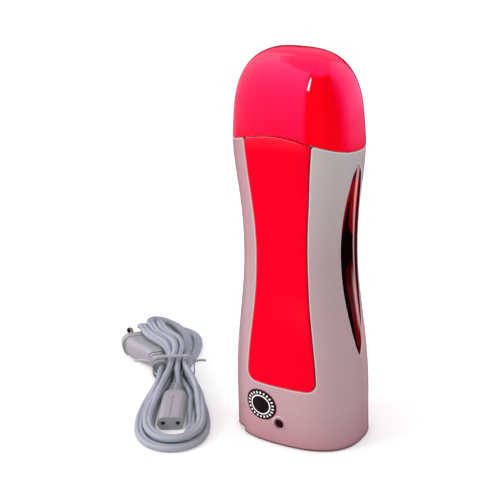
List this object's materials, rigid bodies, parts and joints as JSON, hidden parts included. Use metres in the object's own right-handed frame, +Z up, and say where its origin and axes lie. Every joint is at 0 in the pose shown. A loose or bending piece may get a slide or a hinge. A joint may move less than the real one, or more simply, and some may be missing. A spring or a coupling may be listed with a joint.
{
  "type": "roll on wax heater",
  "caption": "Tall waisted upright heater for roll-on wax cartridges, with arched coloured front panel, lens-shaped side windows, domed lift-off cap and detachable flat mains cord.",
  "frame": {"origin": "on the table under the centre of the heater's base", "axes": "+Z up along the heater, -Y out of the front panel, -X towards the appliance inlet"},
  "size_m": [0.1961, 0.1435, 0.2197],
  "materials": {
    "pearl_white": "moulded plastic with a soft pearl gloss",
    "panel_red": "polished moulded plastic",
    "cap_red": "polished, slightly translucent moulded plastic",
    "window_smoke": "tinted clear plastic, polished",
    "badge_black": "domed gloss disc",
    "inner_white": "moulded, satin",
    "chamber_aluminium": "drawn, satin",
    "film_amber": "polyimide film",
    "electrode_aluminium": "rolled sheet",
    "ptc_ceramic": "sintered ceramic, matt",
    "steel": "zinc-plated",
    "fuse_body": "cast, matt, with tinned leads",
    "inlet_black": "heat-proof moulding, satin",
    "pin_brass": "bright, lightly rubbed",
    "base_white": "moulded, fine texture",
    "foot_rubber": "matt",
    "lens_red": "domed, polished",
    "lamp_glass": "clear glass",
    "resistor_body": "coated, satin",
    "wire_brown": "silicone insulation",
    "wire_blue": "silicone insulation",
    "wire_black": "thin insulated lead",
    "cord_grey": "flat twin flexible cord, satin PVC",
    "plug_grey": "moulded soft PVC, satin",
    "sleeve_dark": "moulded sleeve, satin",
    "tie_grey": "plastic-coated wire tie"
  },
  "bodies": {
    "heater": {"front_shell": "pearl_white", "rear_shell": "pearl_white", "front_panel": "panel_red", "side_window_right": "window_smoke", "side_window_left": "window_smoke", "badge": "badge_black", "chamber_collar": "inner_white", "cartridge_chamber": "chamber_aluminium", "insulating_sheets": "film_amber", "heater_electrodes": "electrode_aluminium", "ptc_element": "ptc_ceramic", "clamp_plate": "steel", "clamp_screws": "steel", "thermal_fuse": "fuse_body", "inlet_housing": "inlet_black", "inlet_pins": "pin_brass", "base_plate": "base_white", "rubber_feet": "foot_rubber", "base_screws": "steel", "case_screws": "steel", "pilot_lens": "lens_red", "neon_lamp": "lamp_glass", "lamp_resistor": "resistor_body", "live_wire": "wire_brown", "fuse_wire": "wire_brown", "neutral_wire": "wire_blue", "lamp_leads": "wire_black"},
    "cap": {"cap": "cap_red"},
    "cord_set": {"cord_hank": "cord_grey", "plug_body": "plug_grey", "plug_pins": "pin_brass", "plug_pin_sleeves": "sleeve_dark", "appliance_connector": "plug_grey", "connector_contacts": "pin_brass", "twist_tie": "tie_grey"}
  },
  "joints": [
    {"name": "cap_lift", "type": "slide", "parent": "heater", "child": "cap", "axis": [0, 0, 1], "range_m": [0, 0.08]},
    {"name": "cord_set_pick_up", "type": "slide", "parent": "heater", "child": "cord_set", "axis": [0, 0, 1], "range_m": [0, 0.15]}
  ]
}
